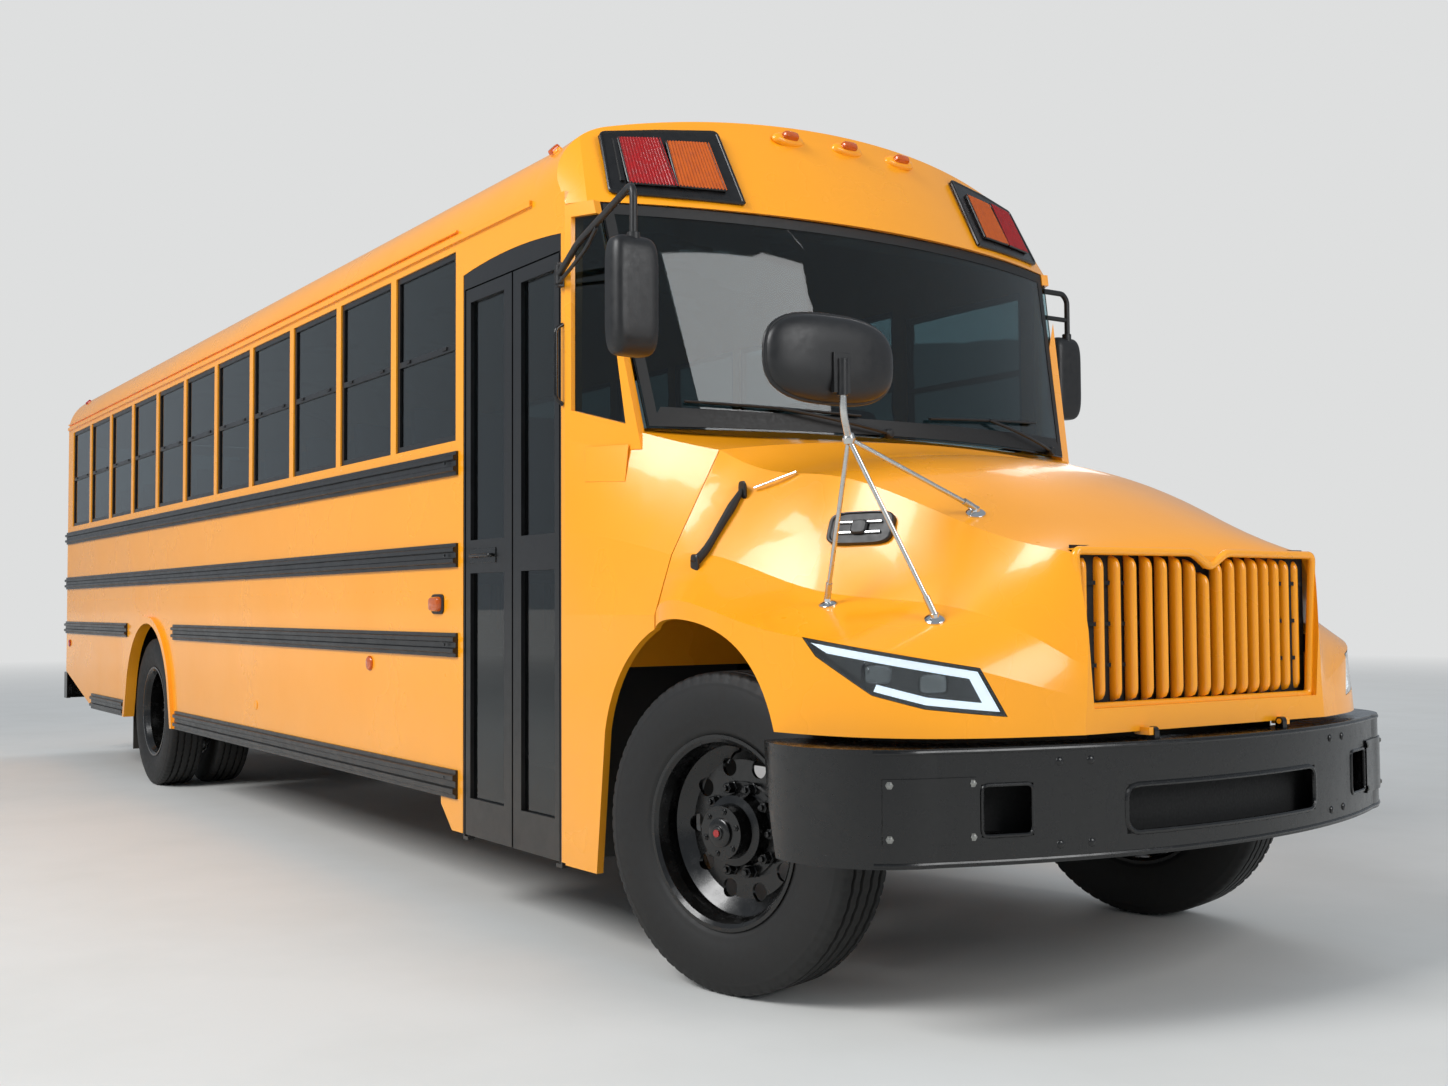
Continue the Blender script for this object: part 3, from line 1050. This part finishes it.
def sewn_pad(half, voxel, push, cap):
    """A cushion filled by air: a box of cloth blown up by pressure in a cloth simulation, as
    (points, faces) round the origin. It starts smaller than the place it fills. Each point's move
    is held under cap by a hyperbolic tangent, and the whole is scaled to the half sizes."""
    bm = bmesh.new()
    bmesh.ops.create_cube(bm, size=2.0)
    bmesh.ops.scale(bm, verts=bm.verts, vec=[h - push for h in half])
    mesh = bpy.data.meshes.new("pad_start")
    bm.to_mesh(mesh)
    bm.free()
    obj = bpy.data.objects.new("pad_start", mesh)
    bpy.context.scene.collection.objects.link(obj)
    remesh = obj.modifiers.new("even", "REMESH")
    remesh.mode = "VOXEL"
    remesh.voxel_size = voxel
    cloth = obj.modifiers.new("air", "CLOTH")
    cloth.settings.quality = 6
    cloth.settings.mass = 0.4
    cloth.settings.tension_stiffness = cloth.settings.compression_stiffness = 120
    cloth.settings.use_pressure = True
    cloth.settings.uniform_pressure_force = 4.0
    cloth.settings.effector_weights.gravity = 0
    cloth.collision_settings.use_collision = False
    shots = []
    for frame_number in range(1, 21):
        bpy.context.scene.frame_set(frame_number)
        if frame_number in (1, 20):
            done = obj.evaluated_get(bpy.context.evaluated_depsgraph_get()).to_mesh()
            points = np.empty(len(done.vertices) * 3)
            done.vertices.foreach_get("co", points)
            shots.append(points.reshape(-1, 3))
    faces = [list(face.vertices) for face in done.polygons]
    move = shots[1] - shots[0]
    length = np.linalg.norm(move, axis=1)[:, None] + 1e-9
    points = shots[0] + move * cap * np.tanh(length / cap) / length
    bpy.data.objects.remove(obj)
    bpy.context.scene.frame_set(1)
    middle, reach = (points.max(0) + points.min(0)) / 2, (points.max(0) - points.min(0)) / 2
    return (points - middle) / reach * np.array(half), faces


def placed(shape, centre, turn=0.0):
    """A surface turned about the sideways line, then moved."""
    p, f = shape
    c, s = np.cos(turn), np.sin(turn)
    q = np.stack([p[:, 0] * c + p[:, 2] * s, p[:, 1], -p[:, 0] * s + p[:, 2] * c], 1)
    return q + np.array(centre), f


class BUS_OT_seats(bpy.types.Operator):
    """Padded benches and the driver's seat."""
    bl_idname = "bus.seats"
    bl_label = "Seats"

    def execute(self, context):
        cushions, backs = [], []
        lean = -np.pi / 2 - np.arctan2(0.085, 0.750)
        seat = sewn_pad(SEAT_HALF, 0.019, 0.012, 0.014)
        back = sewn_pad(BACK_HALF, 0.022, 0.010, 0.012)
        for i in range(WINDOW_COUNT):
            x = BENCH_X - WINDOW_PITCH * i
            for side in (-1, 1):
                cushions.append(placed(seat, (x + 0.210, side * BENCH_Y, 1.446)))
                backs.append(placed(back, (x - 0.097, side * BENCH_Y, 1.765), lean))
        piece("bench_pads", join(*cushions), "seat_vinyl", slot="seat_vinyl",
                        replaces=("bench_cushions",), angle=80)
        piece("bench_back_pads", join(*backs), "seat_vinyl", slot="seat_vinyl",
                        replaces=("bench_backs",), angle=80)
        x, y, z = DRIVER_SEAT
        parts = [pillow((x + 0.012, y, z + 0.437), (0.236, 0.236, 0.053)),
                 pillow((x - 0.238, y, z + 0.770), (0.325, 0.226, 0.045), -np.pi / 2 - 0.12, crown=0.010)]
        piece("driver_seat_pads", join(*parts), "seat_vinyl", slot="seat_vinyl", angle=80)
        base = [box(x - 0.150, x + 0.170, y - 0.120, y + 0.120, z, z + 0.040),
                box(x - 0.100, x + 0.120, y - 0.090, y + 0.090, z + 0.04, z + 0.34),
                box(x - 0.200, x + 0.210, y - 0.200, y + 0.200, z + 0.34, z + 0.386)]
        piece("driver_seat_base", join(*base), "black_plastic", slot="black_plastic",
              replaces=("driver_seat",), bevel=0.006)
        return {"FINISHED"}


class BUS_OT_bumper(bpy.types.Operator):
    """Panel, recess backs, edge beads and bolts on the front bumper."""
    bl_idname = "bus.bumper"
    bl_label = "Front bumper"

    def execute(self, context):
        stations = np.linspace(-1.17, 1.17, 79)
        faces = along_face("front_bumper", stations, 0.800)

        def face(y, z, out=0.0):
            y, z = np.broadcast_arrays(np.asarray(y, float), np.asarray(z, float))
            return np.stack([np.interp(y, stations, faces) + out, y, z], -1)

        panels, dark, metal = [], [], []
        for side in (-1, 1):
            yz = patch([(side * 0.905, 0.578), (side * 1.150, 0.578), (side * 1.150, 0.756),
                        (side * 0.905, 0.756)], 16, 4)
            panels.append(skin(face(yz[..., 0], yz[..., 1], 0.007), face(yz[..., 0], yz[..., 1], -0.001)))
            for y in (0.918, 1.136):
                for z in (0.594, 0.740):
                    at = face(side * y, z, 0.0065)
                    metal.append(bolt(at, (0.8, side * 0.6, 0), 0.0075, 0.006))
            ring = [(side * 0.742, 0.592), (side * 0.888, 0.592), (side * 0.888, 0.733),
                    (side * 0.742, 0.733)]
            loop = rounded(ring, 0.02, 6)
            loop = np.concatenate([loop, loop[:1]])
            panels.append(tube(face(loop[:, 0], loop[:, 1], -0.001), 0.006, 8, caps=False))
            yz = patch([(side * 0.650, 0.530), (side * 1.000, 0.530), (side * 1.000, 0.810),
                        (side * 0.650, 0.810)], 8, 4)
            dark.append(skin(face(yz[..., 0], yz[..., 1], -0.114), face(yz[..., 0], yz[..., 1], -0.118)))
            for y in (0.56, 0.66):
                for z in (0.56, 0.79):
                    panels.append(rivet(face(side * y, z), (1, side * 0.35, 0), 0.013, 0.006))
        loop = rounded([(-0.438, 0.577), (0.438, 0.577), (0.438, 0.713), (-0.438, 0.713)], 0.045, 8)
        loop = np.concatenate([loop, loop[:1]])
        sides = [np.linspace(a, b, 12, endpoint=False) for a, b in zip(loop[:-1], loop[1:])]
        path = np.concatenate(sides + [loop[-1:]])
        panels.append(tube(face(path[:, 0], path[:, 1], -0.001), 0.008, 8, caps=False))
        yz = patch([(-0.62, 0.530), (0.62, 0.530), (0.62, 0.810), (-0.62, 0.810)], 30, 4)
        dark.append(skin(face(yz[..., 0], yz[..., 1], -0.070), face(yz[..., 0], yz[..., 1], -0.074)))
        bead = np.linspace(-1.165, 1.165, 90)
        panels += [tube(face(bead, z, -0.003), 0.007, 8) for z in (0.826, 0.523)]
        piece("bumper_trim", join(*panels), "black_steel", slot="black_steel", angle=40)
        piece("bumper_recess", join(*dark), "dark_void", slot="black_plastic")
        piece("bumper_bolts", join(*metal), "zinc_bolt", slot="black_plastic")
        return {"FINISHED"}


class BUS_OT_glass_trim(bpy.types.Operator):
    """Black edge of the windshield and the two wipers."""
    bl_idname = "bus.glass_trim"
    bl_label = "Windshield trim and wipers"

    def execute(self, context):
        spots = [(y, z) for y in (-1.02, -0.7, -0.35, 0.0, 0.35, 0.7, 1.02)
                 for z in (1.90, 2.15, 2.40, 2.66)]
        place = fitted("windshield", (3.6, 0, 0), (0, 1, 0), (0, 0, 1), (1, 0, 0), spots, 1.5, 4)
        wide = lambda z: 1.046 + 0.082 * (z - 1.858) / 0.842 - 0.006
        strips = []
        n = 60
        t = np.linspace(-1, 1, n)

        def band(y0, z0, y1, z1):
            y, z = np.stack([y0, y1], 1), np.stack([z0, z1], 1)
            strips.append(skin(place(y, z, 0.0022), place(y, z, 0.0002)))

        one = np.ones(n)
        band(t * wide(1.866), 1.866 * one, t * (wide(1.866) - 0.045), (1.925 + 0.012 * t ** 2) * one)
        band(t * wide(2.694), 2.694 * one, t * (wide(2.694) - 0.03), 2.655 * one)
        h = np.linspace(1.866, 2.694, 20)
        for side in (-1, 1):
            band(side * wide(h), h, side * (wide(h) - 0.034), h)
        piece("windshield_edge", join(*strips), "seal", slot="rubber")
        arms = []
        for start, tip_a, tip_b in (((-0.12, 1.872), (-0.92, 1.958), (-0.24, 1.934)),
                                    ((0.90, 1.872), (0.10, 1.944), (0.80, 1.985))):
            w = np.linspace(0, 1, 14)
            y, z = tip_a[0] + (tip_b[0] - tip_a[0]) * w, tip_a[1] + (tip_b[1] - tip_a[1]) * w
            arms.append(tube(place(y, z, 0.014), 0.0055, 8))
            arms.append(tube(place(y, z, 0.021), 0.0042, 8))
            mid = ((tip_a[0] + tip_b[0]) / 2, (tip_a[1] + tip_b[1]) / 2)
            y, z = start[0] + (mid[0] - start[0]) * w, start[1] + (mid[1] - start[1]) * w
            arms.append(tube(place(y, z, 0.022 + 0.012 * np.sin(w * np.pi)), 0.0065, 8))
            arms.append(lathe([(0.019, -0.012), (0.019, 0.008), (0.013, 0.016), (0.0001, 0.017)],
                              place(np.array(start[0]), np.array(start[1]), 0.018), (1, 0, 0), 24))
        piece("wipers", join(*arms), "black_plastic", slot="black_plastic")
        return {"FINISHED"}


class BUS_OT_hood_details(bpy.types.Operator):
    """Side vents, latches and their rods on the hood."""
    bl_idname = "bus.hood_details"
    bl_label = "Hood details"

    def execute(self, context):
        black, chrome, rubber = [], [], []
        spot, normal = drop("hood", (4.773, -3.0, 1.467), (0, 1, 0))
        up = np.array((0, 0, 1.0)) - normal * normal[2]
        up /= np.linalg.norm(up)
        along_hood = np.cross(up, normal)
        t = [(1.0, -0.020), (1.0, 0.013), (0.96, 0.017), (0.90, 0.017), (0.87, 0.011)]
        black.append(dome(oval(0.118, 0.056, 4.5, 56), t, spot, along_hood, up, normal))
        for h in (-0.018, 0.018):
            a = spot + up * h + normal * 0.015
            chrome.append(tube([a - along_hood * 0.078, a + along_hood * 0.078], 0.0045, 10))
        black.append(dome(oval(0.030, 0.024, 4, 32), [(1, 0.008), (1, 0.019), (0.8, 0.024)], spot,
                          along_hood, up, normal))
        hook = [drop("hood", (4.300, -3.0, z), (0, 1, 0)) for z in (1.61, 1.55, 1.48, 1.41, 1.36)]
        path = np.array([p + n * 0.012 for p, n in hook])
        width = np.interp(np.linspace(0, 1, 33), (0, 0.25, 0.6, 1), (0.009, 0.015, 0.012, 0.016))
        rubber.append(tube(smooth_path(path, 8), width, 12))
        for p, n in (hook[0], hook[-1]):
            black.append(dome(oval(0.022, 0.030, 4, 32), [(1, -0.002), (1, 0.012), (0.7, 0.018)], p,
                              (1, 0, 0), (0, 0, 1), n if abs(n[1]) > 0.2 else (0, -1, 0)))
        a, b = drop("hood", (4.335, -3.0, 1.615), (0, 1, 0)), drop("hood", (4.455, -3.0, 1.665), (0, 1, 0))
        chrome.append(tube([a[0] + a[1] * 0.012, b[0] + b[1] * 0.010], 0.0045, 10))
        for shape, name, finish in ((join(*black), "hood_vent", "black_plastic"),
                                    (join(*chrome), "hood_bars", "chrome"),
                                    (join(*rubber), "hood_latch", "rubber")):
            piece(name, join(shape, mirrored(shape)), finish, "hood", "black_plastic")
        return {"FINISHED"}


class BUS_OT_body_details(bpy.types.Operator):
    """Drip rails, rivets, rail bolts, window catches, handles and the sign's border and lamps."""
    bl_idname = "bus.body_details"
    bl_label = "Body details"

    def execute(self, context):
        rivets, rails, black, metal = [], [], [], []
        pitch = setting("sizes").rivet_pitch
        for side in (-1, 1):
            out, y = (0, side, 0), side * HALF
            end = 2.60 if side < 0 else 3.50
            for z in (1.902, 1.300):
                rivets += [rivet((x, y, z), out, 0.0045, 0.0018) for x in np.arange(-5.33, end, pitch)]
            rails.append(box(TAIL_X + 0.05, end + 0.05, side * (HALF - 0.001), side * (HALF + 0.010),
                             RAIN_RAIL_Z - 0.005, RAIN_RAIL_Z + 0.005))
            for i in range(WINDOW_COUNT):
                x = FIRST_WINDOW_X - WINDOW_PITCH * i + WINDOW_WIDTH / 2
                black += [box(x + d - 0.022, x + d + 0.022, side * (HALF - 0.012), side * (HALF - 0.002),
                              2.316, 2.330)
                          for d in (-0.20, 0.20)]
            for z in (1.8295, 1.444, 1.073, 0.5235):
                metal.append(bolt((end - 0.03, side * (HALF + 0.022), z), out, 0.006, 0.004))
        piece("rivet_rows", join(*rivets), "yellow_paint", slot="yellow_paint")
        piece("drip_rails", join(*rails), "yellow_paint", slot="yellow_paint", bevel=0.002)
        piece("window_catches", join(*black), "black_plastic", slot="black_plastic", bevel=0.001)
        piece("rail_bolts", join(*metal), "black_steel", slot="black_steel")
        spot, _ = drop("door_leaf_rear", (3.095, -3.0, 1.44), (0, 1, 0))
        y = spot[1]
        grip = tube(bend([(2.80, y + 0.004, 1.435), (2.80, y - 0.020, 1.435), (2.985, y - 0.020, 1.435),
                          (2.985, y + 0.004, 1.435)], 0.015), 0.007, 12)
        plate = box(2.775, 3.010, y - 0.004, y + 0.003, 1.405, 1.465)
        piece("door_pull", join(grip, plate), "black_steel", "door_rear", "black_steel", bevel=0.0015)
        grab = tube(bend([(3.578, -1.221, 1.965), (3.578, -1.250, 1.985), (3.578, -1.250, 2.240),
                          (3.578, -1.221, 2.259)], 0.03), 0.0075, 12)
        piece("grab_handle", grab, "black_steel", slot="black_steel")
        cx, cz = SIGN_CENTRE
        corner = SIGN_HALF / np.cos(np.radians(22.5))
        a = np.radians(22.5 + 45 * np.arange(9))
        ring_out = np.stack([cx + corner * np.cos(a), cz + corner * np.sin(a)], 1)
        border = []
        for level, sign in ((1.2602, 1), (1.2438, -1)):
            rings = [np.stack([cx + (ring_out[:, 0] - cx) * k, np.full(9, level),
                               cz + (ring_out[:, 1] - cz) * k], 1)
                     for k in (0.985, 0.900)]
            border.append(skin(np.stack(rings, 1), np.stack(rings, 1) - np.array([0, 0.0012 * sign, 0])))
        piece("sign_border", join(*border), "grey_plastic", "stop_arm", "red_paint")
        lamps = [lathe([(0.040, 0.0), (0.040, 0.004), (0.034, 0.0085), (0.0001, 0.0095)],
                       (cx, 1.2595, cz + d), (0, 1, 0), 32)
                 for d in (-0.135, 0.135)]
        piece("sign_lamps", join(*lamps), "red_lens", "stop_arm", "lamp_lens")
        return {"FINISHED"}


class BUS_OT_shoulders(bpy.types.Operator):
    """Painted panels over the openings in the cowl's shoulders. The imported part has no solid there."""
    bl_idname = "bus.shoulders"
    bl_label = "Cowl shoulder panels"

    def execute(self, context):
        corners = [(3.685, -1.186, 1.676), (3.858, -1.122, 1.668), (3.852, -1.104, 1.800),
                   (3.680, -1.181, 1.802)]
        points = patch(corners, 14, 8)
        push = np.array((0.37, -0.93, 0.0))
        panel = skin(points + push * 0.004, points + push * 0.001)
        piece("shoulder_panels", join(panel, mirrored(panel)), "yellow_paint", slot="yellow_paint",
              bevel=0.001)
        return {"FINISHED"}


class BUS_PT_panel(bpy.types.Panel):
    """Lists what builds the looks of the bus."""
    bl_label = "School bus"
    bl_idname = "BUS_PT_panel"
    bl_space_type = "VIEW_3D"
    bl_region_type = "UI"
    bl_category = "School bus"

    def draw(self, context):
        for group in (context.scene.bus_colours, context.scene.bus_sizes):
            for key in group.__annotations__:
                self.layout.prop(group, key)
        for operator in OPERATORS:
            self.layout.operator(operator.bl_idname)


OPERATORS = (BUS_OT_finishes, BUS_OT_cap_lamps, BUS_OT_side_lamps, BUS_OT_wheels, BUS_OT_mirrors,
             BUS_OT_headlights, BUS_OT_grille, BUS_OT_seats, BUS_OT_bumper, BUS_OT_glass_trim,
             BUS_OT_hood_details, BUS_OT_body_details, BUS_OT_shoulders, BUS_OT_stage)
CLASSES = (BusColours, BusSizes) + OPERATORS + (BUS_PT_panel,)


def register():
    for cls in CLASSES:
        bpy.utils.register_class(cls)
    bpy.types.Scene.bus_colours = bpy.props.PointerProperty(type=BusColours)
    bpy.types.Scene.bus_sizes = bpy.props.PointerProperty(type=BusSizes)


def unregister():
    del bpy.types.Scene.bus_sizes
    del bpy.types.Scene.bus_colours
    for cls in reversed(CLASSES):
        bpy.utils.unregister_class(cls)


def main():
    register()
    for operator in OPERATORS:
        group, name = operator.bl_idname.split(".")
        getattr(getattr(bpy.ops, group), name)()


if __name__ == "__main__":
    main()
